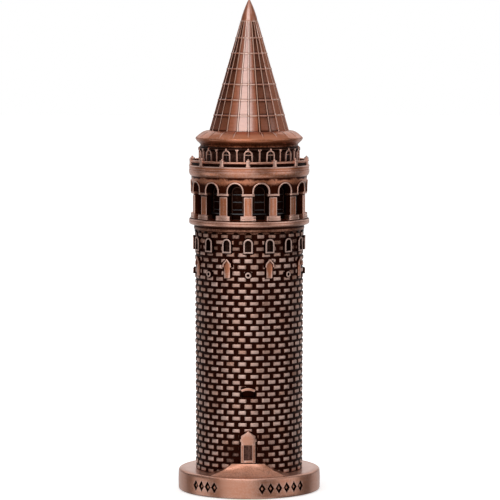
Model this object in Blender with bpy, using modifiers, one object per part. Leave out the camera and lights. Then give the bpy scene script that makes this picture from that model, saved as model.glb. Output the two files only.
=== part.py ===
"""Souvenir figurine of a round medieval stone tower, cast in tiers and clamped on one tie rod.

Numbers are millimetres and become metres where a mesh is made. +Z is up, the door faces -Y, and the
origin is the middle of the felt pad's underside. Every tier keeps a GAP to the one it stands on.
"""

import math

import bmesh
import bpy
from mathutils import Matrix

MM = 0.001
GAP = 0.3

HEIGHT = 180.0
BAYS = 14  # arches of the arcade, posts of the railing and windows of the gallery
WINDOWS = 16  # round-headed windows round the top of the shaft
PANELS = 8  # pointed panels, and as many ring bosses between them
SEAMS = 22  # standing seams of the roof
FACETS = 3 * BAYS
HALF_BAY = 180 / BAYS
HALF_PANEL = 180 / PANELS

BASE_R = 26.0
BASE_FOOT = 0.5
BASE_TOP = 7.9
FELT_R = 24.0
FELT_TOP = 1.0

SHAFT_FOOT_R = 19.65
SHAFT_HEAD_R = 19.95
SHAFT_BORE_R = 17.5
SHAFT_HEAD = 95.3
SPIGOT_R = SHAFT_BORE_R - GAP
SPIGOT_LENGTH = 2.5
RELIEF_R = 20.6  # face of the window frames and hoods
PANEL_R = 20.3

ROD_R = 1.95
ROD_HOLE_R = ROD_R + GAP
ROD_FOOT = 1.7
ROD_HEAD = 141.5
CORE_R = 8.5  # cored-out middle of the solid tiers

CORNICE_LIP_R = 22.05
CORNICE_TOP = 100.2
ARCADE_TOP = 115.4
ARCADE_R = 21.15
ARCADE_BORE_R = 18.3
DRUM_R = 17.6
DECK_R = 22.1
DECK_TOP = 119.6
RAIL_TOP = 121.6
GALLERY_R = 18.5
GALLERY_TOP = 126.4
EAVE_R = 19.65
EAVE_LEVEL = 129.3
SKIRT_TOP = 132.1
CONE_FOOT_R = 14.45
CONE_HEAD = 171.4
CONE_HEAD_R = 3.05

CONE_SPIGOT_R = 11.0
CONE_SPIGOT_LENGTH = 1.5
TENON_R = 1.2
TENON_FOOT = 168.5

MOUND_TOP = 12.3
DOOR_SILL = MOUND_TOP + GAP
DOOR_HEAD = 19.1
NUT_WELL_R = 6.2
NUT_WELL_TOP = 5.9
INSERT_R = 3.5
INSERT_TOP = 138.0
DOWEL_R = 1.0
DOWEL_RING_R = 13.0
ARCADE_DOWEL = (97.3, 103.7)  # low and high ends of the pins under the arcade
GALLERY_DOWEL = (117.3, 122.7)
PAST = 1.0  # how far a cutter runs past the face that it opens


def clear_scene():
    for obj in list(bpy.data.objects):
        bpy.data.objects.remove(obj)


def new_collection(name):
    collection = bpy.data.collections.new(name)
    bpy.context.scene.collection.children.link(collection)
    return collection


def metal(name, colour, roughness, metallic=1.0):
    material = bpy.data.materials.new(name)
    material.use_nodes = True
    shader = material.node_tree.nodes["Principled BSDF"]
    shader.inputs["Base Color"].default_value = (*colour, 1.0)
    shader.inputs["Roughness"].default_value = roughness
    shader.inputs["Metallic"].default_value = metallic
    return material


# Meshes


def turned(profile, closed=False, steps=FACETS):
    """A hidden object that turns (radius, height) points about Z, top to bottom on the outer side."""
    mesh = bpy.data.meshes.new("profile")
    points = [(radius * MM, 0.0, height * MM) for radius, height in profile]
    edges = [(i, i + 1) for i in range(len(points) - 1)]
    if closed:
        edges.append((len(points) - 1, 0))
    mesh.from_pydata(points, edges, [])
    obj = bpy.data.objects.new("turned", mesh)
    screw = obj.modifiers.new("turn", "SCREW")
    screw.steps = screw.render_steps = steps
    screw.use_merge_vertices = True
    screw.merge_threshold = 0.00001
    helpers.objects.link(obj)
    return obj


def mesh_of(obj):
    """The object's evaluated mesh, welded, with the object itself removed."""
    graph = bpy.context.evaluated_depsgraph_get()
    mesh = bpy.data.meshes.new_from_object(obj.evaluated_get(graph))
    bpy.data.objects.remove(obj)
    form = bmesh.new()
    form.from_mesh(mesh)
    bmesh.ops.remove_doubles(form, verts=form.verts, dist=0.000001)
    form.to_mesh(mesh)
    form.free()
    return mesh


def plate(outlines, thickness, front):
    """A plate upright in the XZ plane from (x, z) outlines, its front face at y = -front."""
    curve = bpy.data.curves.new("outline", "CURVE")
    curve.dimensions = "2D"
    curve.fill_mode = "BOTH"
    curve.extrude = thickness * MM / 2
    for outline in outlines:
        spline = curve.splines.new("POLY")
        spline.points.add(len(outline) - 1)
        for point, (x, z) in zip(spline.points, outline):
            point.co = (x * MM, z * MM, 0.0, 1.0)
        spline.use_cyclic_u = True
    obj = bpy.data.objects.new("plate", curve)
    helpers.objects.link(obj)
    mesh = mesh_of(obj)
    upright = Matrix.Rotation(math.pi / 2, 4, "X")
    mesh.transform(Matrix.Translation((0, (thickness / 2 - front) * MM, 0)) @ upright)
    return mesh


def block(width, depth, low, high, front):
    """A box centred on x = 0 between two heights, its front face at y = -front."""
    form = bmesh.new()
    bmesh.ops.create_cube(form, size=1.0)
    size = Matrix.Diagonal((width * MM, depth * MM, (high - low) * MM, 1.0))
    place = Matrix.Translation((0, (depth / 2 - front) * MM, (low + high) / 2 * MM))
    form.transform(place @ size)
    mesh = bpy.data.meshes.new("block")
    form.to_mesh(mesh)
    form.free()
    return mesh


def ball(radius, height, out):
    form = bmesh.new()
    bmesh.ops.create_icosphere(form, subdivisions=1, radius=radius * MM)
    form.transform(Matrix.Translation((0, -out * MM, height * MM)))
    mesh = bpy.data.meshes.new("ball")
    form.to_mesh(mesh)
    form.free()
    return mesh


def pin(radius, low, high, sides=16, bore=0.0):
    """An upright round bar on the Z axis, or a tube if it has a bore."""
    if bore:
        section = [(radius, high), (radius, low), (bore, low), (bore, high)]
        return mesh_of(turned(section, closed=True, steps=sides))
    return mesh_of(turned([(0, high), (radius, high), (radius, low), (0, low)], steps=sides))


def lying(mesh, height, front):
    """The same mesh turned to point along -Y at a height, its top end at y = -front."""
    turn = Matrix.Rotation(math.pi / 2, 4, "X")
    mesh.transform(Matrix.Translation((0, -front * MM, height * MM)) @ turn)
    return mesh


def around(mesh, count, start=0.0):
    """Copies of a mesh spaced evenly round the Z axis, as one mesh."""
    form = bmesh.new()
    for index in range(count):
        turn = Matrix.Rotation(math.radians(start + 360 * index / count), 4, "Z")
        copy = mesh.copy()
        copy.transform(turn)
        form.from_mesh(copy)
        bpy.data.meshes.remove(copy)
    ring = bpy.data.meshes.new("ring")
    form.to_mesh(ring)
    form.free()
    return ring


def arch_outline(width, low, spring, pieces=8):
    """A round-headed outline that stands on a height and springs at another."""
    half = width / 2
    turns = [math.pi * step / pieces for step in range(pieces + 1)]
    head = [(half * math.cos(turn), spring + half * math.sin(turn)) for turn in turns]
    return [(-half, low), (half, low), *head]


def gable_outline(width, low, shoulder, peak):
    half = width / 2
    return [(-half, low), (half, low), (half, shoulder), (0, peak), (-half, shoulder)]


# Objects


def helper(mesh):
    obj = bpy.data.objects.new("helper", mesh)
    obj.hide_render = True
    obj.display_type = "WIRE"
    helpers.objects.link(obj)
    return obj


def boolean(obj, mesh, operation):
    modifier = obj.modifiers.new(operation.lower(), "BOOLEAN")
    modifier.operation = operation
    modifier.solver = "EXACT"
    modifier.object = helper(mesh)


def cut(obj, *meshes):
    for mesh in meshes:
        boolean(obj, mesh, "DIFFERENCE")


def join(obj, *meshes):
    for mesh in meshes:
        boolean(obj, mesh, "UNION")


def piece(name, obj, material, seat=0.0):
    """Finishes a piece: modifiers applied, smooth shading, and its origin at the height of its seat."""
    graph = bpy.context.evaluated_depsgraph_get()
    mesh = bpy.data.meshes.new_from_object(obj.evaluated_get(graph))
    mesh.name = name
    bpy.data.objects.remove(obj)
    mesh.transform(Matrix.Translation((0, 0, -seat * MM)))
    mesh.shade_smooth()
    mesh.set_sharp_from_angle(angle=math.radians(28))
    mesh.materials.clear()
    mesh.materials.append(material)
    part = bpy.data.objects.new(name, mesh)
    part.location.z = seat * MM
    part.parent = assembly
    parts.objects.link(part)
    return part


def solid(mesh):
    obj = bpy.data.objects.new("solid", mesh)
    helpers.objects.link(obj)
    return obj


# Base


def felt_pad():
    piece("felt_pad", solid(pin(FELT_R, 0.0, FELT_TOP, sides=FACETS)), felt)


def base_plinth():
    """The plinth: a spigot for the shaft on top, and below it the felt's recess and the nut's well."""
    recess = FELT_TOP + GAP
    obj = turned(
        [
            (ROD_HOLE_R, BASE_TOP + SPIGOT_LENGTH),
            (SPIGOT_R, BASE_TOP + SPIGOT_LENGTH),
            (SPIGOT_R, BASE_TOP),
            (BASE_R - 1.1, BASE_TOP),
            (BASE_R - 0.35, BASE_TOP - 0.3),
            (BASE_R - 0.05, BASE_TOP - 1.0),
            (BASE_R, (BASE_TOP + BASE_FOOT) / 2),
            (BASE_R - 0.15, BASE_FOOT + 0.5),
            (BASE_R - 0.6, BASE_FOOT),
            (FELT_R + GAP, BASE_FOOT),
            (FELT_R + GAP, recess),
            (NUT_WELL_R, recess),
            (NUT_WELL_R, NUT_WELL_TOP),
            (ROD_HOLE_R, NUT_WELL_TOP),
        ],
        closed=True,
    )
    piece("base_plinth", obj, copper, BASE_FOOT)


def base_fixings():
    """The washer and the hexagon nut in the well under the base, which pull the tie rod down."""
    washer_high = NUT_WELL_TOP - GAP
    washer_low = washer_high - 0.8
    nut_high = washer_low - GAP
    nut_low = nut_high - 2.5
    nut_across_corners = 7.0 * 2 / math.sqrt(3)
    washer = solid(pin(NUT_WELL_R - 0.7, washer_low, washer_high, sides=28, bore=ROD_HOLE_R))
    piece("base_washer", washer, steel, washer_low)
    nut = solid(pin(nut_across_corners / 2, nut_low, nut_high, sides=6))
    cut(nut, pin(ROD_HOLE_R, nut_low - PAST, nut_high + PAST, sides=24))
    piece("base_nut", nut, steel, nut_low)


def entrance_mound():
    """The ramped mound that fans out from the foot of the door to the rim of the base."""
    foot = BASE_TOP + GAP
    landing_half, landing_front = 6.1, 21.0
    fan_r, fan_degrees, fan_steps = BASE_R - 1.1, 33.0, 6
    inside = 14.0  # a depth that lies within the shaft
    turns = [math.radians(fan_degrees * step / fan_steps) for step in range(-fan_steps, fan_steps + 1)]
    corners = [(fan_r * math.sin(turn), -fan_r * math.cos(turn), foot) for turn in turns]
    for side in (-1, 1):
        corners.append((side * landing_half, -landing_front, MOUND_TOP))
        corners.append((side * landing_half, -inside, MOUND_TOP))
        corners.append((side * inside, -inside, foot))
    form = bmesh.new()
    for corner in corners:
        form.verts.new([value * MM for value in corner])
    bmesh.ops.convex_hull(form, input=form.verts)
    mesh = bpy.data.meshes.new("mound")
    form.to_mesh(mesh)
    form.free()
    obj = solid(mesh)
    cut(obj, pin(SHAFT_FOOT_R + 0.05 + GAP, foot - PAST, MOUND_TOP + PAST, sides=2 * FACETS))
    piece("entrance_mound", obj, copper, foot)


# Shaft


def window_frames():
    """Round-headed frames of the blind windows under the cornice."""
    sill, spring, width, band = 88.3, 91.95, 3.9, 0.65
    outer = arch_outline(width, sill, spring)
    inner = arch_outline(width - 2 * band, sill + band, spring, pieces=6)
    return around(plate([outer, inner], 1.4, RELIEF_R), WINDOWS)


def panel_bodies():
    sill, shoulder, peak = 79.4, 84.4, 85.6
    body = plate([gable_outline(2.65, sill, shoulder, peak)], 1.0, PANEL_R)
    return around(body, PANELS, HALF_PANEL)


def panel_hoods():
    """A chevron over each panel, wider than the panel."""
    eave, peak, reach, inner, band = 83.7, 86.5, 2.05, 1.3, 1.5
    outline = [(-reach, eave), (-inner, eave), (0, peak - band), (inner, eave), (reach, eave), (0, peak)]
    return around(plate([outline], 1.4, RELIEF_R), PANELS, HALF_PANEL)


def ring_bosses():
    """Solid bosses between the panels, and the eyes to cut in them."""
    height, face = 80.6, RELIEF_R - 0.1
    boss = lying(pin(1.2, -1.4, 0.0, sides=14), height, face)
    eye = lying(pin(0.5, -0.6, PAST, sides=8), height, face)
    return around(boss, PANELS), around(eye, PANELS)


def tower_shaft():
    """The hollow shaft, with its windows, panels and bosses cast on, and pockets for slit and door."""
    foot = BASE_TOP + GAP
    obj = turned(
        [
            (SHAFT_HEAD_R, SHAFT_HEAD),
            (SHAFT_FOOT_R, foot),
            (SHAFT_BORE_R, foot),
            (SHAFT_BORE_R, SHAFT_HEAD),
        ],
        closed=True,
    )
    bosses, eyes = ring_bosses()
    slit = block(5.4, 3.0, 36.2, 38.4, SHAFT_HEAD_R + 1.8)
    door = block(3.9, 3.1, DOOR_SILL + GAP, DOOR_HEAD + 0.2, SHAFT_HEAD_R + 1.9)
    join(obj, window_frames())
    join(obj, panel_bodies(), panel_hoods())
    join(obj, bosses)
    cut(obj, eyes, slit, door)
    piece("tower_shaft", obj, stonework, foot)


def against_shaft(mesh):
    """A plate hollowed at the back to lie against the shaft with a gap."""
    obj = solid(mesh)
    wall_r = SHAFT_HEAD_R + GAP - 0.1  # the shaft tapers a little, and is slimmer down here
    cut(obj, pin(wall_r, 0.0, SHAFT_HEAD / 2, sides=2 * FACETS))
    return obj


def door_portal():
    """The gabled surround of the door, with two small ears under the gable."""
    half, ear, ear_low, ear_high, chamfer = 2.6, 2.95, 20.2, 21.4, 0.3
    shoulder, peak, face = 22.4, 24.1, 21.1
    right = [
        (half, DOOR_SILL),
        (half, ear_low),
        (ear, ear_low + chamfer),
        (ear, ear_high - chamfer),
        (half, ear_high),
        (half, shoulder),
    ]
    left = [(-x, z) for x, z in reversed(right)]
    reveal, sill = 1.55, 13.3
    opening = [(-reveal, sill), (reveal, sill), (reveal, DOOR_HEAD), (-reveal, DOOR_HEAD)]
    obj = against_shaft(plate([[*right, (0, peak), *left], opening], 2.0, face))
    piece("door_portal", obj, copper, DOOR_SILL)


def door_leaves():
    """The closed pair of leaves, one casting, in the pocket behind the portal."""
    low, high, face, groove = DOOR_SILL + 2 * GAP, DOOR_HEAD - 0.1, 19.9, 0.3
    obj = solid(block(3.3, 0.8, low, high, face))
    cut(obj, block(groove, 2 * groove, low - PAST, high + PAST, face + groove))
    piece("door_leaves", obj, dark_copper, low)


def slit_hood():
    """The shallow segmental hood over the slit window."""
    reach, low, rise, band, face = 3.0, 38.7, 0.6, 0.8, 21.0
    steps = [-1 + step / 4 for step in range(9)]
    soffit = [(reach * x, low + rise * (1 - x * x)) for x in steps]
    crown = [(x, z + band) for x, z in reversed(soffit)]
    obj = against_shaft(plate([soffit + crown], 2.0, face))
    piece("slit_hood", obj, copper, low)


# Crown


def with_rod_hole(profile):
    """A solid turned section closed down the wall of the rod hole, top to bottom."""
    top, bottom = profile[0][1], profile[-1][1]
    return [(ROD_HOLE_R, top), *profile, (ROD_HOLE_R, bottom)]


def dowel_holes(low, high):
    """Cutters for a pair of dowels, left and right of the rod."""
    hole = pin(DOWEL_R + GAP, low, high, sides=12)
    hole.transform(Matrix.Translation((DOWEL_RING_R * MM, 0, 0)))
    return around(hole, 2)


def dowels(level, low, high):
    """A pair of locating pins across the joint between two tiers."""
    for side, label in ((-1, "left"), (1, "right")):
        mesh = pin(DOWEL_R, low, high, sides=12)
        mesh.transform(Matrix.Translation((side * DOWEL_RING_R * MM, 0, 0)))
        piece(f"{level}_dowel_{label}", solid(mesh), steel, low)


def lower_cornice():
    """The moulded plate that closes the shaft and carries the arcade."""
    foot = SHAFT_HEAD + GAP
    obj = turned(
        with_rod_hole(
            [
                (CORNICE_LIP_R - 0.5, CORNICE_TOP),
                (CORNICE_LIP_R, CORNICE_TOP - 0.4),
                (CORNICE_LIP_R, CORNICE_TOP - 1.7),
                (CORNICE_LIP_R - 0.4, CORNICE_TOP - 2.1),
                (SHAFT_HEAD_R + 0.15, foot + 2.0),
                (SHAFT_HEAD_R, foot + 0.4),
                (SHAFT_HEAD_R - 0.45, foot),
                (SPIGOT_R, foot),
                (SPIGOT_R, foot - SPIGOT_LENGTH),
            ]
        ),
        closed=True,
    )
    cut(obj, dowel_holes(ARCADE_DOWEL[0] - GAP, CORNICE_TOP + PAST))
    piece("lower_cornice", obj, copper, foot)


def arcade_ring():
    """The ring of piers and round arches, open between the piers."""
    foot, plinth_top, impost_low, impost_top, spring = CORNICE_TOP + GAP, 102.1, 109.2, 110.0, 111.3
    pier_r = ARCADE_R - 0.4
    obj = turned(
        [
            (ARCADE_R, ARCADE_TOP),
            (pier_r, spring),
            (pier_r, foot),
            (ARCADE_BORE_R, foot),
            (ARCADE_BORE_R, ARCADE_TOP),
        ],
        closed=True,
    )
    cutter_r, depth = ARCADE_R + 2.0, 6.0
    between_piers = block(6.0, depth, plinth_top, impost_low + 0.3, cutter_r)
    under_arch = plate([arch_outline(5.3, impost_low - 0.2, spring)], depth, cutter_r)
    plinth = block(5.6, 2.0, foot, plinth_top, ARCADE_R + 0.35)
    impost = block(4.6, 2.0, impost_low, impost_top, ARCADE_R + 0.15)
    cut(obj, around(between_piers, BAYS, HALF_BAY), around(under_arch, BAYS, HALF_BAY))
    join(obj, around(plinth, BAYS), around(impost, BAYS))
    piece("arcade_ring", obj, copper, foot)


def arcade_drum():
    """The drum behind the arches, cored from below."""
    foot, roof = CORNICE_TOP + GAP, 3.5
    obj = turned(
        [
            (ROD_HOLE_R, ARCADE_TOP),
            (DRUM_R, ARCADE_TOP),
            (DRUM_R, foot),
            (CORE_R, foot),
            (CORE_R, ARCADE_TOP - roof),
            (ROD_HOLE_R, ARCADE_TOP - roof),
        ],
        closed=True,
    )
    cut(obj, dowel_holes(foot - PAST, ARCADE_DOWEL[1] + GAP))
    piece("arcade_drum", obj, dark_copper, foot)


def balcony_deck():
    """The deck plate, with an ovolo under its fascia."""
    foot = ARCADE_TOP + GAP
    obj = turned(
        with_rod_hole(
            [
                (DECK_R - 0.2, DECK_TOP),
                (DECK_R, DECK_TOP - 0.2),
                (DECK_R, foot + 2.3),
                (DECK_R - 0.3, foot + 2.1),
                (DECK_R - 0.4, foot + 1.5),
                (DECK_R - 0.9, foot + 0.9),
                (DECK_R - 1.7, foot + 0.7),
                (DECK_R - 1.7, foot),
            ]
        ),
        closed=True,
    )
    cut(obj, dowel_holes(GALLERY_DOWEL[0] - GAP, DECK_TOP + PAST))
    piece("balcony_deck", obj, copper, foot)


def balcony_railing():
    """The handrail on its posts and on the thin wall set back behind them, with a ball on each post."""
    foot, rail_r, rail_depth, rail_height = DECK_TOP + GAP, DECK_R - 0.1, 1.0, 0.9
    wall_depth, ball_r = 0.4, 0.5
    obj = turned(
        [
            (rail_r, RAIL_TOP),
            (rail_r, RAIL_TOP - rail_height),
            (rail_r - rail_depth + wall_depth, RAIL_TOP - rail_height),
            (rail_r - rail_depth + wall_depth, foot),
            (rail_r - rail_depth, foot),
            (rail_r - rail_depth, RAIL_TOP),
        ],
        closed=True,
    )
    post = block(1.3, 1.2, foot, RAIL_TOP + 0.2, DECK_R - 0.05)
    join(obj, around(post, BAYS))
    join(obj, around(ball(ball_r, RAIL_TOP + ball_r, rail_r - rail_depth / 2), BAYS))
    piece("balcony_railing", obj, copper, foot)


def gallery_drum():
    """The drum over the balcony: arched windows alternate with slender pilasters under a cornice."""
    foot, wall_r, cornice_r, cornice_low, roof = DECK_TOP + GAP, 17.9, 18.7, 125.5, 2.0
    obj = turned(
        [
            (ROD_HOLE_R, GALLERY_TOP),
            (wall_r, GALLERY_TOP),
            (cornice_r, cornice_low + 0.4),
            (cornice_r, cornice_low),
            (wall_r, cornice_low - 0.2),
            (wall_r, foot),
            (CORE_R, foot),
            (CORE_R, GALLERY_TOP - roof),
            (ROD_HOLE_R, GALLERY_TOP - roof),
        ],
        closed=True,
    )
    width, band, spring = 3.2, 0.55, 124.0
    outer = arch_outline(width, foot, spring, pieces=6)
    inner = arch_outline(width - 2 * band, foot + band, spring, pieces=6)
    frame = plate([outer, inner], 1.6, GALLERY_R + 0.2)
    pilaster = block(0.8, 1.4, foot, cornice_low - 0.1, GALLERY_R)
    join(obj, around(frame, BAYS), around(pilaster, BAYS, HALF_BAY))
    cut(obj, dowel_holes(foot - PAST, GALLERY_DOWEL[1] + GAP))
    piece("gallery_drum", obj, copper, foot)


# Roof


def roof_skirt():
    """The bell-cast eave, flared out over the gallery, with a seat for the cone."""
    foot, throat_r = GALLERY_TOP + GAP, 17.85
    seat = SKIRT_TOP - CONE_SPIGOT_LENGTH - 0.1
    throat, sweep_steps = EAVE_LEVEL - 1.9, 6
    reach, rise = EAVE_R - CONE_FOOT_R, SKIRT_TOP - EAVE_LEVEL
    outs = [step / sweep_steps for step in range(sweep_steps + 1)]
    sweep = [(CONE_FOOT_R + reach * out, EAVE_LEVEL + rise * (1 - out**2)) for out in outs]
    obj = turned(
        [
            (ROD_HOLE_R, seat),
            (CONE_SPIGOT_R + GAP, seat),
            (CONE_SPIGOT_R + GAP, SKIRT_TOP),
            *sweep,
            (EAVE_R - 0.15, EAVE_LEVEL - 0.5),
            (EAVE_R - 0.6, EAVE_LEVEL - 1.0),
            (throat_r + 0.5, throat + 0.3),
            (throat_r, throat),
            (throat_r, foot),
            (ROD_HOLE_R, foot),
        ],
        closed=True,
        steps=2 * SEAMS,
    )
    piece("roof_skirt", obj, copper, foot)


def roof_cone():
    """The conical roof with its standing seams, bored from below for the insert and the rod."""
    foot = SKIRT_TOP + GAP
    socket_r, socket_foot, rod_room = TENON_R + GAP, TENON_FOOT - GAP, 1.5
    obj = turned(
        [
            (0, socket_foot),
            (socket_r, socket_foot),
            (socket_r, CONE_HEAD),
            (CONE_HEAD_R, CONE_HEAD),
            (CONE_FOOT_R, foot),
            (CONE_SPIGOT_R, foot),
            (CONE_SPIGOT_R, foot - CONE_SPIGOT_LENGTH),
            (INSERT_R + GAP, foot - CONE_SPIGOT_LENGTH),
            (INSERT_R + GAP, INSERT_TOP + GAP),
            (ROD_HOLE_R, INSERT_TOP + GAP),
            (ROD_HOLE_R, ROD_HEAD + rod_room),
            (0, ROD_HEAD + rod_room),
        ],
        steps=2 * SEAMS,
    )
    slope = math.atan2(CONE_FOOT_R - CONE_HEAD_R, CONE_HEAD - foot)
    length = math.hypot(CONE_FOOT_R - CONE_HEAD_R, CONE_HEAD - foot)
    rib_end, rib_stand = 0.3, 0.2
    rib = block(0.4, 0.8, rib_end, length - rib_end, rib_stand)
    lean = Matrix.Rotation(-slope, 4, "X")
    rib.transform(Matrix.Translation((0, -CONE_FOOT_R * MM, foot * MM)) @ lean)
    join(obj, around(rib, SEAMS))
    piece("roof_cone", obj, copper, foot)


def roof_tip():
    """The smooth finial point, with a tenon down into the head of the cone."""
    foot = CONE_HEAD + GAP
    rise, girth, steps, fullness = HEIGHT - foot, CONE_HEAD_R - 0.05, 7, 0.8
    outer = []
    for step in range(steps + 1):
        up = (step / steps) ** fullness
        outer.append((girth * (1 - up**1.25) ** 0.9, foot + rise * up))
    obj = turned(
        [*reversed(outer), (TENON_R, foot), (TENON_R, TENON_FOOT), (0, TENON_FOOT)], steps=SEAMS
    )
    piece("roof_tip", obj, copper, foot)


def rod_and_insert():
    """The tie rod through every tier, and the threaded insert that holds it in the cone."""
    piece("tie_rod", solid(pin(ROD_R, ROD_FOOT, ROD_HEAD, sides=20)), steel, ROD_FOOT)
    insert_foot = SKIRT_TOP + 2 * GAP - CONE_SPIGOT_LENGTH
    insert = solid(pin(INSERT_R, insert_foot, INSERT_TOP, sides=20, bore=ROD_HOLE_R))
    piece("roof_insert", insert, brass, insert_foot)


clear_scene()
parts = new_collection("souvenir_tower")
helpers = new_collection("helpers")
assembly = bpy.data.objects.new("tower_assembly", None)
parts.objects.link(assembly)

copper = metal("antique_copper", (0.55, 0.27, 0.18), 0.34)
dark_copper = metal("patinated_copper", (0.07, 0.045, 0.035), 0.5)
stonework = metal("copper_masonry", (0.42, 0.22, 0.16), 0.42)
steel = metal("zinc_plated_steel", (0.62, 0.62, 0.6), 0.35)
brass = metal("brass", (0.7, 0.52, 0.25), 0.32)
felt = metal("felt", (0.03, 0.03, 0.03), 0.95, metallic=0.0)

felt_pad()
base_plinth()
base_fixings()
entrance_mound()
tower_shaft()
door_portal()
door_leaves()
slit_hood()
lower_cornice()
arcade_ring()
arcade_drum()
dowels("arcade", *ARCADE_DOWEL)
balcony_deck()
balcony_railing()
gallery_drum()
dowels("gallery", *GALLERY_DOWEL)
roof_skirt()
roof_cone()
roof_tip()
rod_and_insert()
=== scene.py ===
"""Looks of the souvenir tower figurine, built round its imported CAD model.

Lengths are millimetres until a mesh is made. Relief is first modelled flat, as points (along, out, up):
along the wall from the front, out from a wall of some radius, and up. bent() rolls it round the axis.
A form is a pair of an N x 3 array of points and a list of faces. The door faces -Y.
"""

import math

import bmesh
import bpy
import numpy as np
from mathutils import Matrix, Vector


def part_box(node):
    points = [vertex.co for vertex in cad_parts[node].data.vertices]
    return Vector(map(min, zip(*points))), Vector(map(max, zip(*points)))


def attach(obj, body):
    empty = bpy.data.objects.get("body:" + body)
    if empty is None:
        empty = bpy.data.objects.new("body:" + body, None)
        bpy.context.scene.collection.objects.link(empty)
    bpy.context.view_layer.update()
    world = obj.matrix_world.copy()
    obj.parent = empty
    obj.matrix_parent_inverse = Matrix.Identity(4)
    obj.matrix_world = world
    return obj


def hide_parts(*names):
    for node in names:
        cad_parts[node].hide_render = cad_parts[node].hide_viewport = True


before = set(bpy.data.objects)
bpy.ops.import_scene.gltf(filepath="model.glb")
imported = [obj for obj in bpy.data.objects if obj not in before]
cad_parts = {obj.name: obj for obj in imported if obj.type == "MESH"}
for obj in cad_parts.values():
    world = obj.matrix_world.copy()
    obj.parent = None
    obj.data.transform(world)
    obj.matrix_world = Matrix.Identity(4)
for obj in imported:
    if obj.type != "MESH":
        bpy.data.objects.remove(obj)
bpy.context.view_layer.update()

MM = 0.001
ROUND = 168  # facets of a turned piece
BAYS = 14  # arches, railing posts and gallery windows
BAY = 360 / BAYS
WINDOWS = 16
PANELS = 8
SEAMS = 22
ROD_HOLE_R = 2.25


def levels(node):
    """The lowest and highest level of a CAD node, in millimetres."""
    low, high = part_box(node)
    return low.z / MM, high.z / MM


def girth(node):
    """The largest radius of a round CAD node, in millimetres."""
    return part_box(node)[1].x / MM


BASE_R = girth("base_plinth")
BASE_FOOT = levels("base_plinth")[0]
BASE_TOP = levels("entrance_mound")[0] - 0.3
MOUND_TOP = levels("entrance_mound")[1]
SHAFT_FOOT, SHAFT_HEAD = levels("tower_shaft")
DOOR_SILL, DOOR_PEAK = levels("door_portal")
CORNICE_TOP = levels("lower_cornice")[1]
ARCADE_TOP = levels("arcade_ring")[1]
DECK_TOP = levels("balcony_deck")[1]
DECK_R = girth("balcony_deck")
GALLERY_TOP = levels("gallery_drum")[1]
SKIRT_TOP = levels("roof_skirt")[1]
TIP_FOOT, TIP_TOP = levels("roof_cone")[1], levels("roof_tip")[1]

SHAFT_FOOT_R = 19.65
SHAFT_HEAD_R = 19.95
SHAFT_BORE_R = 17.5
WALL_R = SHAFT_HEAD_R  # wall behind the relief near the head of the shaft
PIER_R = 20.75
ARCADE_R = 21.15
DRUM_R = 17.6
DRUM_BORE_R = 8.5
GALLERY_WALL_R = 17.9
EAVE_R = girth("roof_skirt")
EAVE_LEVEL = 129.45
CONE_FOOT_R = 14.45
CONE_HEAD_R = 3.05
AXIS_R = 0.001  # points this near to the axis are welded into one


# Forms


def grid(rows, round_rows=False, round_columns=False, caps=False):
    """Quads over an array of rows of points, with either direction closed on itself."""
    rows = np.asarray(rows, float)
    index = np.arange(rows.shape[0] * rows.shape[1]).reshape(rows.shape[:2])
    ends = [index[0].tolist(), index[-1].tolist()]
    if round_columns:
        index = np.hstack([index, index[:, :1]])
    if round_rows:
        index = np.vstack([index, index[:1]])
    quads = np.stack([index[:-1, :-1], index[:-1, 1:], index[1:, 1:], index[1:, :-1]], axis=-1)
    faces = quads.reshape(-1, 4).tolist()
    return rows.reshape(-1, 3), faces + (ends if caps else [])


def wheel(radius, turns, heights):
    """Points round the axis, at some turns from the front in radians."""
    return np.stack(np.broadcast_arrays(radius * np.sin(turns), -radius * np.cos(turns), heights), axis=-1)


def merged(*forms):
    """Several forms as one."""
    points, faces, start = [], [], 0
    for some_points, some_faces in forms:
        points.append(some_points)
        faces += [[index + start for index in face] for face in some_faces]
        start += len(some_points)
    return np.vstack(points), faces


def paired(form, aside):
    """A flat form moved aside to the left, and again to the right."""
    points, faces = form
    return merged((points - (aside, 0, 0), faces), (points + (aside, 0, 0), faces))


def bent(form, radius, turn=0.0):
    """Flat relief rolled on to a wall of some radius, its middle turned from the front by some degrees."""
    points, faces = form
    return wheel(radius + points[:, 1], points[:, 0] / radius + math.radians(turn), points[:, 2]), faces


def ringed(form, radius, count, start=0.0):
    """Copies of a flat form, evenly spaced round a wall."""
    return merged(*[bent(form, radius, start + 360 * step / count) for step in range(count)])


def fine(profile, longest=0.4):
    """A profile with up to eleven points added to a step, so that steps are no longer than some length."""
    dense = []
    for (r0, z0), (r1, z1) in zip(profile, profile[1:]):
        parts = min(12, max(1, math.ceil(math.hypot(r1 - r0, z1 - z0) / longest)))
        dense += [(r0 + (r1 - r0) * part / parts, z0 + (z1 - z0) * part / parts) for part in range(parts)]
    return [*dense, profile[-1]]


def standing(radius, points):
    """A profile given by how far it stands out from some radius at each height."""
    return [(radius + out, height) for out, height in points]


def turned(profile, closed=True, steps=ROUND):
    """A (radius, height) profile turned about the axis."""
    turns = np.arange(steps) * 2 * math.pi / steps
    rows = [wheel(radius, turns, height) for radius, height in profile]
    return grid(rows, round_rows=closed, round_columns=True)


def arc(centre, radius, first, last, steps=6):
    """Points along an arc in a plane, between two angles in degrees."""
    turns = np.radians(np.linspace(first, last, steps + 1))
    return [(centre[0] + radius * math.cos(turn), centre[1] + radius * math.sin(turn)) for turn in turns]


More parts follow.
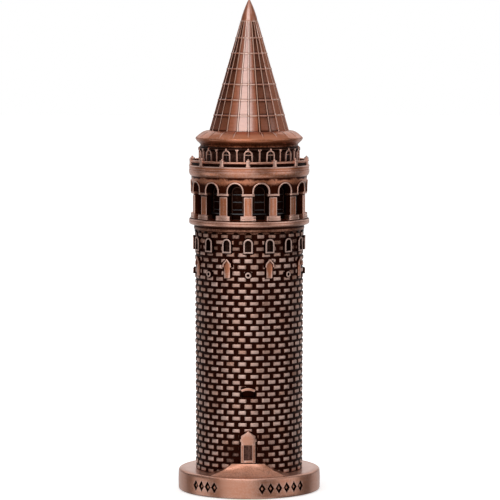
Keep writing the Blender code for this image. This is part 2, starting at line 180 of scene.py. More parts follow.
def mitres(path, closed):
    """At each point of a path, the way to the right of travel, lengthened as a mitre at a corner."""
    path = np.asarray(path, float)
    step = np.roll(path, -1, axis=0) - path
    step /= np.linalg.norm(step, axis=1)[:, None] + 1e-12
    after = np.column_stack([step[:, 1], -step[:, 0]])
    before = np.roll(after, 1, axis=0)
    if not closed:
        after[-1] = before[-1]
        before[0] = after[0]
    return (after + before) / (1 + np.sum(after * before, axis=1))[:, None]


def swept(path, section, closed=False):
    """A moulding along (along, up) points. Its section is (sideways, out) points, sideways to the right."""
    rows = [
        [(along + side * right, out, up + side * rise) for side, out in section]
        for (along, up), (right, rise) in zip(path, mitres(path, closed))
    ]
    return grid(rows, round_rows=closed, round_columns=True, caps=not closed)


def slab(edge, steps, across=4):
    """A symmetric plate. Its right edge is (along, up) points, bottom to top, and its sides rise in
    (inset, out) steps from the back to the face."""
    outline = [*edge, *[(-along, up) for along, up in reversed(edge) if along > 0]]
    sides = mitres(outline, closed=True)
    corners = [(*point, *side) for point, side in zip(outline, sides)]
    rings = [
        [(along - inset * right, out, up - inset * rise) for along, up, right, rise in corners]
        for inset, out in steps
    ]
    shares = np.linspace(-1, 1, across + 1)
    faces = []
    for ring in (rings[0], rings[-1]):
        half = ring[: len(edge)]
        faces.append(grid([[(share * along, out, up) for share in shares] for along, out, up in half]))
    return merged(grid(rings, round_columns=True), *faces)


def block(half, low, high, steps, across=4):
    """A rectangular slab."""
    return slab([(half, low), (half, high)], steps, across)


def arch_edge(half, low, spring, steps=8):
    """Right edge of a round-headed outline."""
    return [(half, low), *arc((0, spring), half, 0, 90, steps)[:-1], (0, spring + half)]


def arch_path(half, low, spring, steps=16):
    """A path up the left of a round-headed outline, over its head and down the right."""
    return [(-half, low), *arc((0, spring), half, 180, 0, steps), (half, low)]


def ball(radius, along, out, up, steps=10):
    """A small round bead, flat like the rest of the relief."""
    rows = []
    for rise in np.radians(np.linspace(-89.9, 89.9, steps // 2 + 3)):
        turns = np.arange(steps) * 2 * math.pi / steps
        ring = radius * math.cos(rise)
        height = np.full(steps, up + radius * math.sin(rise))
        rows.append(np.column_stack([along + ring * np.cos(turns), out + ring * np.sin(turns), height]))
    return grid(rows, round_columns=True, caps=True)


def bead_section(half, back, face):
    """A moulding section with a rounded face."""
    crown = 0.35 * half
    shoulder = face - crown
    side = max(back + 0.02, shoulder - 0.35)
    front = [(half * math.cos(turn), shoulder + crown * math.sin(turn)) for turn in np.radians([20, 55, 90])]
    right = [(half, back), (half, side), (half, shoulder - 0.1 * half), *front]
    return [*right, *[(-side, out) for side, out in reversed(right[:-1])]]


def raised(back, face, bevel=0.12):
    """Steps of a plain slab with a rounded edge."""
    side = max(back + 0.02, face - bevel - 0.3)
    return [(0, back), (0, side), (0, face - bevel), (0.3 * bevel, face - 0.3 * bevel), (bevel, face)]


def sunk(back, face, border, depth, bevel=0.1):
    """Steps of a slab with a sunk panel inside a border."""
    return [*raised(back, face, bevel), (border, face), (border + 0.08, face - depth)]


# Pieces


def ramp(values, low, high):
    """0 below low, 1 above high, and a smooth step between them."""
    share = np.clip((values - low) / (high - low), 0, 1)
    return share * share * (3 - 2 * share)


def values_of(items, name, width, kind=float):
    """One row of numbers for each vertex or edge of a mesh."""
    values = np.empty(len(items) * width, kind)
    items.foreach_get(name, values)
    return values.reshape(-1, width)


def weathered_and_shaded(mesh, worn_and_shaded, passes=2, gain=2.2, flat=0.62):
    """Stores for each vertex a number from 0 in a hollow to 1 on an edge, as an attribute, multiplied by a
    number or a function of the vertices' radius and level in millimetres. The hollows' dark is patina; some
    pieces' functions also paint shade into it, and some a highlight."""
    count = len(mesh.vertices)
    points = values_of(mesh.vertices, "co", 3)
    normals = values_of(mesh.vertices, "normal", 3)
    first, second = values_of(mesh.edges, "vertices", 2, int).T
    step = points[second] - points[first]
    step /= np.linalg.norm(step, axis=1)[:, None] + 1e-12
    rise = np.bincount(first, np.sum(normals[first] * step, axis=1), count)
    rise += np.bincount(second, -np.sum(normals[second] * step, axis=1), count)
    near = np.bincount(first, minlength=count) + np.bincount(second, minlength=count) + 1e-9
    hollow = rise / near
    for _ in range(passes):
        spread = np.bincount(first, hollow[second], count) + np.bincount(second, hollow[first], count)
        hollow = 0.5 * hollow + 0.5 * spread / near
    wear_and_shading = np.clip(flat - gain * hollow, 0, 1)
    if callable(worn_and_shaded):
        worn_and_shaded = worn_and_shaded(np.hypot(points[:, 0], points[:, 1]) / MM, points[:, 2] / MM)
    store(mesh, "wear_and_shading", wear_and_shading * worn_and_shaded)


def store(mesh, name, values):
    """Keeps one number for each vertex as an attribute."""
    attribute = mesh.attributes.new(name, "FLOAT", "POINT")
    attribute.data.foreach_set("value", np.asarray(values, np.float32).ravel())


def mesh_from(name, form, weld=True):
    """A mesh in metres, its faces turned outwards."""
    points, faces = form
    mesh = bpy.data.meshes.new(name)
    mesh.from_pydata((points * MM).tolist(), [], faces)
    shape = bmesh.new()
    shape.from_mesh(mesh)
    if weld:
        bmesh.ops.remove_doubles(shape, verts=shape.verts, dist=0.002 * MM)
    bmesh.ops.recalc_face_normals(shape, faces=shape.faces)
    shape.to_mesh(mesh)
    shape.free()
    return mesh


def in_scene(name, data):
    """A new object of some data, in the scene."""
    obj = bpy.data.objects.new(name, data)
    bpy.context.scene.collection.objects.link(obj)
    return obj


def piece(name, mesh, finish, nodes=(), sharp=32, worn_and_shaded=1.0, warmth=0.0):
    """Finishes a mesh as a piece of the figurine that stands for some CAD nodes."""
    mesh.shade_smooth()
    mesh.set_sharp_from_angle(angle=math.radians(sharp))
    if not mesh.materials:
        mesh.materials.append(MATERIALS[finish])
    if "wear_and_shading" not in mesh.attributes:
        weathered_and_shaded(mesh, worn_and_shaded)
    if "tint" not in mesh.attributes:
        store(mesh, "tint", np.full(len(mesh.vertices), warmth))
    obj = in_scene(name, mesh)
    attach(obj, "root")
    if nodes:
        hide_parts(*nodes)


def made(name, form, finish, nodes=(), sharp=32, worn_and_shaded=1.0, warmth=0.0):
    """Makes a form a piece of the figurine."""
    piece(name, mesh_from(name, form), finish, nodes, sharp, worn_and_shaded, warmth)


# Materials


def feed(socket, value):
    """Links or sets an input."""
    if isinstance(value, bpy.types.NodeSocket):
        socket.id_data.links.new(value, socket)
    else:
        socket.default_value = value


def filled(node, **inputs):
    """A node with some inputs linked or set. A name's underscores stand for spaces."""
    for name, value in inputs.items():
        feed(node.inputs[name.replace("_", " ")], value)
    return node


def linked(tree, kind, **inputs):
    """A new shader node with some inputs linked or set."""
    return filled(tree.nodes.new("ShaderNode" + kind), **inputs)


def noise(place, size, detail, stretch=(1.0, 1.0, 1.0)):
    """Noise with features of some size in millimetres, stretched along an axis by a share below 1."""
    tree = place.id_data
    scaled = linked(tree, "Mapping", Vector=place, Scale=stretch).outputs[0]
    scale = 1 / (size * MM)
    return linked(tree, "TexNoise", Vector=scaled, Scale=scale, Detail=detail).outputs["Fac"]


def ranged(value, low, high, to_low=0.0, to_high=1.0, kind="LINEAR"):
    """A value carried from one range to another, and held within it."""
    ends = {"From_Min": low, "From_Max": high, "To_Min": to_low, "To_Max": to_high}
    node = linked(value.id_data, "MapRange", Value=value, **ends)
    node.interpolation_type = kind
    return node.outputs["Result"]


def maths(operation, first, second):
    """The sum or product of two values."""
    node = linked(first.id_data, "Math")
    node.operation = operation
    for socket, value in zip(node.inputs, (first, second)):
        feed(socket, value)
    return node.outputs[0]


def blended(share, first, second):
    """A colour between two, by a share."""
    node = linked(share.id_data, "Mix")
    node.data_type = "RGBA"
    feed(node.inputs["Factor"], share)
    for name, colour in (("A", first), ("B", second)):
        feed(node.inputs[name], (*colour, 1.0) if isinstance(colour, tuple) else colour)
    return node.outputs["Result"]


def stored(material, name):
    """An attribute of the vertices."""
    node = linked(material.node_tree, "Attribute")
    node.attribute_name = name
    return node.outputs["Fac"]


def new_material(name):
    """A material, its shader, and the place on the object."""
    material = bpy.data.materials.new(name)
    material.use_nodes = True
    tree = material.node_tree
    return material, tree.nodes["Principled BSDF"], linked(tree, "TexCoord").outputs["Object"]


def bumped(shader, height, distance):
    """Gives a surface fine relief of some depth in millimetres."""
    bump = linked(shader.id_data, "Bump", Height=height, Distance=distance * MM, Strength=1.0)
    filled(shader, Normal=bump.outputs[0])


def antique_metal(name, edge, body, warm, dark, roughness, share_range, edge_range, lacquer,
                  coat_ior=1.9, grain=0.012, mottle=0.16):
    """Plated metal, dark with dull patina in its hollows and rubbed bright on its edges, under as much
    lacquer as is given. The stored number, with the shade and highlight that some pieces paint into it,
    leads from patina to metal within share_range, and to the edge's colour within edge_range. The attribute
    tint leads from the body's colour to the warm one."""
    material, shader, place = new_material(name)
    clouds = noise(place, 7.0, 4.0)
    specks = noise(place, 0.6, 5.0)
    streaks = noise(place, 1.4, 4.0, stretch=(0.35, 0.35, 2.2))
    cloudy = ranged(clouds, 0.3, 0.7, -0.4 * mottle, 0.4 * mottle)
    speckled = ranged(specks, 0.3, 0.7, -0.6 * mottle, 0.6 * mottle)
    rubbed = maths("ADD", stored(material, "wear_and_shading"), maths("ADD", cloudy, speckled))
    share = ranged(rubbed, *share_range, kind="SMOOTHSTEP")
    hue = maths("ADD", stored(material, "tint"), ranged(streaks, 0.3, 0.72, -0.1, 0.4))
    metal = blended(hue, body, warm)
    metal = blended(ranged(rubbed, *edge_range), metal, edge)
    colour = blended(share, dark, metal)
    smooth = ranged(share, 0, 1, roughness + 0.16, roughness)
    matte = maths("ADD", smooth, ranged(specks, 0.3, 0.7, -0.04, 0.06))
    filled(shader, Base_Color=colour, Roughness=matte, Metallic=1.0)
    filled(shader, Coat_Roughness=0.2, Coat_IOR=coat_ior)
    if lacquer:
        filled(shader, Coat_Weight=maths("MULTIPLY", share, lacquer))
    bumped(shader, maths("ADD", streaks, maths("MULTIPLY", specks, 0.8)), grain)
    return material


def plain_metal(name, light, dark, roughness, coarse):
    """Bare turned metal: fine rings of tool marks and faint clouding."""
    material, shader, place = new_material(name)
    rings = noise(place, coarse, 3.0, stretch=(0.15, 0.15, 3.0))
    clouds = noise(place, 4.0, 3.0)
    colour = blended(ranged(clouds, 0.3, 0.7), dark, light)
    matte = ranged(rings, 0.25, 0.75, roughness - 0.06, roughness + 0.1)
    filled(shader, Base_Color=colour, Roughness=matte, Metallic=1.0)
    bumped(shader, rings, 0.02)
    return material


def felt():
    """Black felt, its fibres darker between the clumps."""
    material, shader, place = new_material("felt")
    fibres = noise(place, 0.45, 6.0)
    clumps = noise(place, 2.5, 3.0)
    clumped = ranged(clumps, 0.2, 0.8, 0.6, 1.0)
    share = maths("MULTIPLY", ranged(fibres, 0.25, 0.75), clumped)
    colour = blended(share, (0.008, 0.008, 0.009), (0.05, 0.048, 0.046))
    filled(shader, Base_Color=colour, Roughness=0.95, Sheen_Weight=0.4)
    bumped(shader, fibres, 0.12)
    return material


COPPER, MASONRY, PATINA = "antique_copper", "copper_masonry", "patinated_copper"
MATERIALS = {
    COPPER: antique_metal(
        COPPER,
        edge=(0.8, 0.48, 0.38), body=(0.61, 0.28, 0.18), warm=(0.56, 0.175, 0.07),
        dark=(0.05, 0.009, 0.003), roughness=0.36, share_range=(0.08, 0.56), edge_range=(0.66, 0.98),
        lacquer=0.4,
    ),
    "sheet_copper": antique_metal(
        "sheet_copper",
        edge=(0.74, 0.43, 0.31), body=(0.6, 0.195, 0.085), warm=(0.45, 0.11, 0.028),
        dark=(0.05, 0.009, 0.003), roughness=0.6, share_range=(0.08, 0.56), edge_range=(0.72, 0.98),
        lacquer=1.0, coat_ior=2.4, grain=0.006, mottle=0.06,
    ),
    MASONRY: antique_metal(
        MASONRY,
        edge=(0.72, 0.5, 0.43), body=(0.58, 0.37, 0.31), warm=(0.57, 0.31, 0.225),
        dark=(0.03, 0.006, 0.003), roughness=0.44, share_range=(0.3, 0.8), edge_range=(0.66, 0.98),
        lacquer=0.0, grain=0.04,
    ),
    # Its bluish grey edge colour is a painted highlight, reached mainly on the drum's rails and dado.
    PATINA: antique_metal(
        PATINA,
        edge=(0.1, 0.1, 0.105), body=(0.055, 0.026, 0.019), warm=(0.26, 0.13, 0.1),
        dark=(0.013, 0.003, 0.001), roughness=0.38, share_range=(0.3, 0.8), edge_range=(0.85, 1.1),
        lacquer=0.0,
    ),
    "zinc_plated_steel": plain_metal("zinc_plated_steel", (0.68, 0.68, 0.66), (0.5, 0.51, 0.52), 0.3, 0.3),
    "brass": plain_metal("brass", (0.78, 0.58, 0.28), (0.62, 0.43, 0.18), 0.28, 0.25),
    "felt": felt(),
}


# Base


def felt_pad():
    """The felt disc under the plinth, its edges rounded."""
    low, high = levels("felt_pad")
    radius = girth("felt_pad")
    rim = [(-0.3, high), (-0.08, high - 0.12), (0, high - 0.4), (-0.08, low + 0.1), (-0.3, low)]
    profile = [(AXIS_R, high), *standing(radius, rim), (AXIS_R, low)]
    made("felt_pad_cloth", turned(fine(profile, 2.0)), "felt", ["felt_pad"])


def ornament_angles():
    """Four lozenges left of the front and six right of it."""
    return [*np.linspace(-46.9, -28.0, 4), *np.linspace(11.4, 46.4, 6)]


def base():
    """The plinth, with rounded edges and a row of engraved lozenges on each side of the front."""
    top, foot, radius = BASE_TOP, BASE_FOOT - 0.25, BASE_R + 0.08
    waist = (top + foot) / 2
    well_r, well_top = 6.2, 5.9
    recess_r, recess = 24.3, levels("felt_pad")[1] + 0.3
    profile = [
        (ROD_HOLE_R, top), *arc((radius - 1.05, top - 0.95), 0.95, 90, 12), (radius, waist + 0.6),
        (radius, waist - 0.6), *arc((radius - 0.5, foot + 0.45), 0.45, -10, -90, 5), (recess_r, foot),
        (recess_r, recess), (well_r, recess), (well_r, well_top), (ROD_HOLE_R, well_top),
    ]
    mesh = mesh_from("base_body", turned(fine(profile, 0.8)))
    mesh.materials.append(MATERIALS[COPPER])
    mesh.materials.append(MATERIALS[PATINA])
    body = in_scene("base_body", mesh)
    middle = 3.95  # level of the row of lozenges

    def lozenges(half, half_height, steps):
        outline = [(0.01, middle - half_height), (half, middle), (0.01, middle + half_height)]
        lozenge = slab(outline, steps, across=2)
        return merged(*[bent(lozenge, BASE_R, turn) for turn in ornament_angles()])

    engraving = mesh_from("engraving", lozenges(1.28, 2.05, [(0, -0.45), (0, 1.0)]))
    engraving.materials.append(MATERIALS[PATINA])
    cutter = in_scene("engraving", engraving)
    cut = body.modifiers.new("engrave", "BOOLEAN")
    cut.object = cutter
    cut.operation = "DIFFERENCE"
    cut.solver = "EXACT"
    cut.material_mode = "TRANSFER"
    graph = bpy.context.evaluated_depsgraph_get()
    engraved = bpy.data.meshes.new_from_object(body.evaluated_get(graph))
    bpy.data.objects.remove(body)
    bpy.data.objects.remove(cutter)

    # Painted reflection: the plinth's top face is pushed to the bright edge colour, standing for the white
    # it mirrors.
    def worn_and_shaded(radius, level):
        return np.where((level > BASE_TOP - 0.2) & (radius < BASE_R - 1.0), 1.4, 1.0)

    piece("base_plinth_body", engraved, COPPER, ["base_plinth"], worn_and_shaded=worn_and_shaded)
    made("base_ornament_cores", lozenges(0.45, 0.75, raised(-0.5, -0.1, 0.15)), COPPER)


def mound():
    """The ramped mound in front of the door, lofted from its landing down to its foot on the base."""
    inside = -15.0  # where its sides run into the shaft
    landing_half, landing_front = 5.95, -21.1
    hem_half, hem_r, fan = 14.2, BASE_R - 1.1, 33.0
    side_steps, front_steps = 6, 24

    def outline(start, front):
        """A side, the front and the other side, from above."""
        side = np.linspace(start, front[-1], side_steps, endpoint=False)
        return np.vstack([side * (-1, 1), front, side[::-1]])

    turns = np.radians(np.linspace(-fan, fan, front_steps + 1))
    brow_front = np.linspace((-landing_half, landing_front), (landing_half, landing_front), front_steps + 1)
    hem_front = wheel(hem_r, turns, 0.0)[:, :2]
    brow = outline((landing_half, inside), brow_front)
    hem = outline((hem_half, inside), hem_front)
    landing = np.column_stack([0.5 * brow[:, 0], np.maximum(brow[:, 1], inside - 0.5)])
    rows = [np.column_stack([landing, np.full(len(landing), MOUND_TOP)])]
    # shares of the way out and of the fall
    slope = [(0, 0), (0.02, 0.03), (0.07, 0.12), (0.25, 0.35), (0.45, 0.56), (0.65, 0.74), (0.85, 0.9)]
    for share, fall in [*slope, (1, 1)]:
        height = MOUND_TOP + (BASE_TOP - MOUND_TOP) * fall
        rows.append(np.column_stack([brow + (hem - brow) * share, np.full(len(brow), height)]))
    made("entrance_mound_body", grid(rows), COPPER, ["entrance_mound"], sharp=50, worn_and_shaded=0.75)


# Shaft


COURSE = 2.2
COURSES = 40
BRICKS = 28
FIRST_COURSE = 7.6
JOINT_DEPTH = 0.4
PORTAL_SHOULDER = 22.4
SLIT = (2.75, 36.2, 38.4)  # half width, low and high
WINDOW = (1.4, 88.8, 92.05)  # half width, sill and spring along the middle of the frame
PANEL_LOW, PANEL_SHOULDER, PANEL_PEAK = 79.4, 84.2, 86.4
BOSS_LEVEL, BOSS_R = 80.6, 1.2


def nearest(angles, count, start):
    """How far each angle in degrees is, along the wall, from the nearest of some evenly spaced features."""
    pitch = 360 / count
    return np.radians((angles - start + pitch / 2) % pitch - pitch / 2) * WALL_R


def arched(along, up, half, low, spring):
    """True inside a round-headed outline."""
    below = (np.abs(along) < half) & (up > low) & (up <= spring)
    return below | ((up > spring) & (along**2 + (up - spring) ** 2 < half**2))


def bare_wall(angles, up):
    """Where the relief leaves no room for bricks, and how deep the wall is sunk there."""
    window = nearest(angles, WINDOWS, 0.0)
    panel = np.abs(nearest(angles, PANELS, 180 / PANELS))
    boss = nearest(angles, PANELS, 0.0)
    front = np.abs(nearest(angles, 1, 0.0))
    half, sill, spring = WINDOW
    bare = arched(window, up, half + 0.5, sill - 0.6, spring)
    bare |= (panel < 1.65) & (up > PANEL_LOW - 0.2) & (up < PANEL_SHOULDER)
    bare |= (panel < 2.3) & (up > PANEL_SHOULDER - 1.0) & (up < PANEL_PEAK + 0.4 - 0.8 * panel)
    bare |= boss**2 + (up - BOSS_LEVEL - 0.1) ** 2 < (BOSS_R + 0.3) ** 2
    bare |= (front < SLIT[0] + 0.1) & (up > SLIT[1]) & (up < SLIT[2])
    bare |= (front < SLIT[0] - 0.2) & (up > SLIT[2]) & (up < SLIT[2] + 1.7)
    bare |= (front < 3.3) & (up < PORTAL_SHOULDER + 0.5)
    bare |= (front < 2.9) & (up < DOOR_PEAK + 0.3 - 0.5 * front)
    sunk_in = np.where(arched(window, up, half - 0.1, sill, spring), 1.1, 0.0)
    sunk_in = np.where((front < SLIT[0]) & (up > SLIT[1]) & (up < SLIT[2]), 1.5, sunk_in)
    return bare, sunk_in


def brick_grid():
    """Angle, height, rise and tint of every point of the brickwork, course by course in running bond."""
    random = np.random.default_rng(11)
    # places of the points of a brick and its joint, in shares of its pitch and of the course
    across = np.array([0, 0.14, 0.19, 0.3, 0.5, 0.7, 0.81, 0.86])
    upward = np.array([0, 0.15, 0.22, 0.33, 0.5, 0.67, 0.78, 0.85])
    rise = np.array([0, 0, 0.85, 1, 1, 1, 0.85, 0])
    # how far a shift of the brick's first edge, and of its last, moves each point
    start = np.array([0, 1, 1, 0.75, 0.5, 0.25, 0, 0])
    finish = np.array([0, 0, 0, 0.25, 0.5, 0.75, 1, 1])
    parts = len(rise)
    columns = np.arange(BRICKS * parts)
    angles, heights, rises, tints = [], [], [], []
    for course in range(COURSES):
        shift = parts // 2 * (course % 2)
        turn, part = np.divmod(columns + shift, parts)
        brick = turn % BRICKS
        ends = random.normal(0, 0.018, (BRICKS, 2))
        beds = random.normal(0, 0.026, (BRICKS, 2))
        proud = random.uniform(0.72, 1.1, BRICKS)
        tilt = random.normal(0, 0.07, BRICKS)
        tint = random.uniform(0, 1, BRICKS) ** 1.5
        along = turn + across[part] - shift / parts
        along += start[part] * ends[brick, 0] + finish[part] * ends[brick, 1]
        for row in range(parts):
            up = course + upward[row] + start[row] * beds[brick, 0] + finish[row] * beds[brick, 1]
            lift = rise[part] * rise[row] * (proud[brick] + tilt[brick] * (across[part] - 0.5))
            angles.append(along * 360 / BRICKS)
            heights.append(FIRST_COURSE + up * COURSE)
            rises.append(lift)
            tints.append(tint[brick])
    return [np.array(values) for values in (angles, heights, rises, tints)]


def masonry():
    """The shaft: brickwork outside and the bore inside, as one closed body."""
    foot, head = BASE_TOP, SHAFT_HEAD + 0.2
    angles, heights, rises, tints = brick_grid()
    keep = (heights.min(axis=1) > foot + 0.1) & (heights.max(axis=1) < head - 0.1)
    angles, heights, rises, tints = angles[keep], heights[keep], rises[keep], tints[keep]
    bare, sunk_in = bare_wall(angles, heights)
    rises = np.where(bare, 0.0, rises)
    taper = SHAFT_FOOT_R + (SHAFT_HEAD_R - SHAFT_FOOT_R) * (heights - SHAFT_FOOT) / (SHAFT_HEAD - SHAFT_FOOT)
    reach = taper + JOINT_DEPTH * (rises - 1.0) - sunk_in
    turns = np.radians(angles)
    below = [wheel(SHAFT_BORE_R, turns[0], foot), wheel(SHAFT_FOOT_R - JOINT_DEPTH, turns[0], foot)]
    above = [wheel(SHAFT_HEAD_R - JOINT_DEPTH, turns[0], head), wheel(SHAFT_BORE_R, turns[0], head)]
    rows = np.concatenate([below, wheel(reach, turns, heights), above])
    mesh = mesh_from("shaft_masonry", grid(rows, round_rows=True, round_columns=True), weld=False)
    edge = np.zeros((2, rows.shape[1]))
    # Painted shade: the courses from the windows up to the cornice, and the low courses round the door, are
    # darker.
    painted_shade_up_top = ramp(heights, 86.5, 88.5)
    painted_shade_by_door = (1 - ramp(np.abs(nearest(angles, 1, 0.0)), 5.0, 14.0)) * (1 - ramp(heights, 16, 24))
    wear_and_shading = rises * (1 - 0.3 * painted_shade_up_top) * (1 - 0.42 * painted_shade_by_door)
    store(mesh, "wear_and_shading", np.concatenate([edge, wear_and_shading, edge]))
    store(mesh, "tint", np.concatenate([edge, tints, edge]))
    piece("shaft_masonry", mesh, MASONRY, ["tower_shaft"], sharp=60)


def worn_relief(radius, level):
    """Relief on the shaft is rubbed bright on its faces, and dark down its sides."""
    return 1.4 * ramp(radius, WALL_R + 0.42, WALL_R + 0.62)


def shaft_windows():
    """Sixteen blind windows: a round-headed frame, with a leaded pane sunk inside."""
    half, low, spring = WINDOW
    frame_path = [(half, low), *arc((0, spring), half, 0, 180, 16), (-half, low)]
    moulding = swept(frame_path, bead_section(0.25, -0.9, 0.7), closed=True)
    made("shaft_window_frames", ringed(moulding, WALL_R, WINDOWS), MASONRY, worn_and_shaded=worn_relief)
    pane = slab(arch_edge(half - 0.05, low, spring), [(0, -1.3), (0, -0.75)])
    bars = [block(0.1, low, spring + half - 0.3, raised(-0.8, -0.4, 0.06))]
    for level in (low + 1.1, low + 2.3, spring):
        bars.append(block(half - 0.2, level - 0.08, level + 0.08, raised(-0.8, -0.45, 0.05)))
    made("shaft_window_panes", ringed(merged(pane, *bars), WALL_R, WINDOWS), PATINA, worn_and_shaded=0.6)


def shaft_panels():
    """Eight pointed panels under hoods, and the ring bosses between them."""
    half = 1.16
    head = [(half, PANEL_SHOULDER), (0.6 * half, PANEL_SHOULDER + 0.95), (0, PANEL_SHOULDER + 1.6)]
    body = slab([(half, PANEL_LOW), *head], raised(-0.8, 0.16, 0.2))

    def worn_body(radius, level):
        face = ramp(radius, WALL_R - 0.1, WALL_R + 0.12)
        return face * (1.1 - 0.55 * ramp(level, PANEL_SHOULDER - 0.8, PANEL_SHOULDER + 0.2))

    bodies = ringed(body, WALL_R, PANELS, 180 / PANELS)
    made("shaft_panels", bodies, COPPER, worn_and_shaded=worn_body, warmth=0.7)
    hood = [(-1.45, 83.5), (-1.3, 84.6), (0, 86.1), (1.3, 84.6), (1.45, 83.5)]
    moulding = swept(hood, bead_section(0.25, -0.8, 0.64))
    hoods = ringed(moulding, WALL_R, PANELS, 180 / PANELS)
    made("shaft_panel_hoods", hoods, COPPER, worn_and_shaded=worn_relief)
    hoop = [(along, BOSS_LEVEL + up) for along, up in arc((0, 0), 0.8, 0, 342, 19)]
    ear = block(0.2, BOSS_LEVEL + 0.8, BOSS_LEVEL + 1.4, raised(-0.6, 0.4, 0.1), across=2)
    ring = merged(swept(hoop, bead_section(0.26, -0.6, 0.64), closed=True), paired(ear, 0.55))
    made("shaft_ring_bosses", ringed(ring, WALL_R, PANELS), MASONRY, worn_and_shaded=worn_relief)


def slit():
    """The hood over the slit window and the dark lining of the slit."""
    radius = SHAFT_FOOT_R + 0.1
    half, low, high = SLIT
    span, foot, rise = 2.31, 38.8, 0.6
    curve = [(span * share, foot + rise * (1 - share**2)) for share in np.linspace(-1, 1, 13)]
    hood = swept(curve, bead_section(0.42, -0.8, 1.0))
    made("slit_hood_arch", bent(hood, radius), COPPER, ["slit_hood"], worn_and_shaded=0.9)
    half, low, high = half - 0.05, low + 0.1, high - 0.1
    outline = [(half, low), (half, high), (-half, high), (-half, low)]
    lining = swept(outline, bead_section(0.12, -1.8, -0.2), closed=True)
    made("slit_lining", bent(lining, radius), PATINA, worn_and_shaded=0.5)


def door():
    """The gabled portal with its ears, jambs and sill, and the pair of plain leaves behind."""
    radius = SHAFT_FOOT_R
    face = 1.42
    head = 19.1
    half, ear, reveal = 2.45, 2.78, 1.48
    edge = [(half, head), (half, 20.2), (ear, 20.4), (ear, 21.2), (half, 21.4)]
    edge += [(half, PORTAL_SHOULDER), (0, DOOR_PEAK)]
    gable = slab(edge, raised(-0.6, face, 0.2), across=6)
    lintel = block(half - 0.15, head, head + 0.5, raised(-0.3, face + 0.08, 0.08), across=6)
    point = ball(0.22, 0, face - 0.1, DOOR_PEAK + 0.1)
    width = (half - reveal) / 2
    jamb = block(width, DOOR_SILL, head + 0.1, sunk(-0.6, face, 0.2, 0.08, 0.08), across=3)
    jambs = paired(jamb, reveal + width)
    sill = block(reveal + 0.05, DOOR_SILL, DOOR_SILL + 0.85, raised(-0.6, face - 0.35, 0.12))
    portal = merged(gable, lintel, point, jambs, sill)
    made("door_portal_surround", bent(portal, radius), COPPER, ["door_portal"])
    leaf = block(0.76, DOOR_SILL + 0.8, head + 0.05, raised(-0.4, 0.25, 0.05), across=2)
    leaves = paired(leaf, 0.77)
    made("door_leaf_pair", bent(leaves, radius), PATINA, ["door_leaves"], worn_and_shaded=0.62, warmth=1.0)


# Crown


def lower_cornice():
    """The moulded plate over the shaft, and dark half-round plates on the wall under its lowest band:
    painted shade of a scalloped edge.
    """
    profile = [
        (ROD_HOLE_R, CORNICE_TOP + 0.3), (19.6, CORNICE_TOP + 0.3), (19.7, CORNICE_TOP), (21.5, 100.15),
        (21.8, 99.98), (22.0, 99.78), (22.05, 99.55), (22.03, 99.35), (21.93, 99.27), (21.93, 99.17),
        (22.05, 99.05), (22.05, 98.6), (21.95, 98.25), (21.6, 97.95), (21.0, 97.8), (20.6, 97.65),
        (20.25, 97.42), (20.02, 97.3), (20.02, 97.1), (20.22, 97.0), (20.22, 96.25), (20.05, 96.05),
        (19.8, 95.95), (19.72, 95.6), (19.5, 95.3), (17.2, 95.3), (17.2, 93.1), (ROD_HOLE_R, 93.1),
    ]

    # Painted shade with patina: the top, under the arcade, is near black, and the bands under the lip are
    # darker.
    def worn_and_shaded(radius, level):
        top = np.where(level > 99.8, 0.1, 1.0)
        return top * (0.35 + 0.7 * ramp(radius, 21.0, 21.5))

    made("lower_cornice_moulding", turned(fine(profile)), COPPER, ["lower_cornice"], worn_and_shaded=worn_and_shaded)
    # Painted shade: flat dark half-rounds standing for the shade of a scalloped edge.
    notch_edge = [(0.95, 95.1), *arc((0, 95.1), 0.95, 0, 90)[1:]]
    notch = slab(notch_edge, raised(-0.5, 0.05, 0.05), across=2)
    made("lower_cornice_painted_shade_scallops", ringed(notch, WALL_R, BRICKS), PATINA, worn_and_shaded=0.4)


def arcade_bay():
    """One flat bay over the imposts: a round arch with a raised archivolt, and the wall round it."""
    low, spring, top = 109.85, 110.9, ARCADE_TOP + 0.38
    opening, edge = 2.65, math.pi * ARCADE_R / BAYS
    corner = math.degrees(math.atan2(top - spring, edge))
    turns = sorted({*np.linspace(0, 180, 25).tolist(), corner, 180 - corner}, reverse=True)
    inner = [(-opening, low, -1, 0), (-opening, (low + spring) / 2, -1, 0)]
    outer = [(-edge, low), (-edge, (low + spring) / 2)]
    for turn in turns:
        east, north = math.cos(math.radians(turn)), math.sin(math.radians(turn))
        inner.append((opening * east, spring + opening * north, east, north))
        reach = min(edge / max(abs(east), 1e-9), (top - spring) / max(north, 1e-9))
        outer.append((reach * east, spring + reach * north))
    inner += [(opening, (low + spring) / 2, 1, 0), (opening, low, 1, 0)]
    outer += [(edge, (low + spring) / 2), (edge, low)]
    rim = [(0, -2.8), (0, -1.4), (0, 0.0), (0, 0.2), (0.06, 0.3), (0.16, 0.34), (0.42, 0.34), (0.54, 0.28)]
    rim += [(0.6, 0.12), (0.62, 0.0)]
    rows = []
    for side, out in rim:
        rows.append([(x + side * east, out, z + side * north) for x, z, east, north in inner])
    last = rim[-1][0]
    for share in (0.08, 0.3, 0.65, 1.0):
        row = []
        for (x, z, east, north), (far_x, far_z) in zip(inner, outer):
            x, z = x + last * east, z + last * north
            row.append((x + (far_x - x) * share, 0.0, z + (far_z - z) * share))
        rows.append(row)
    return grid(rows)


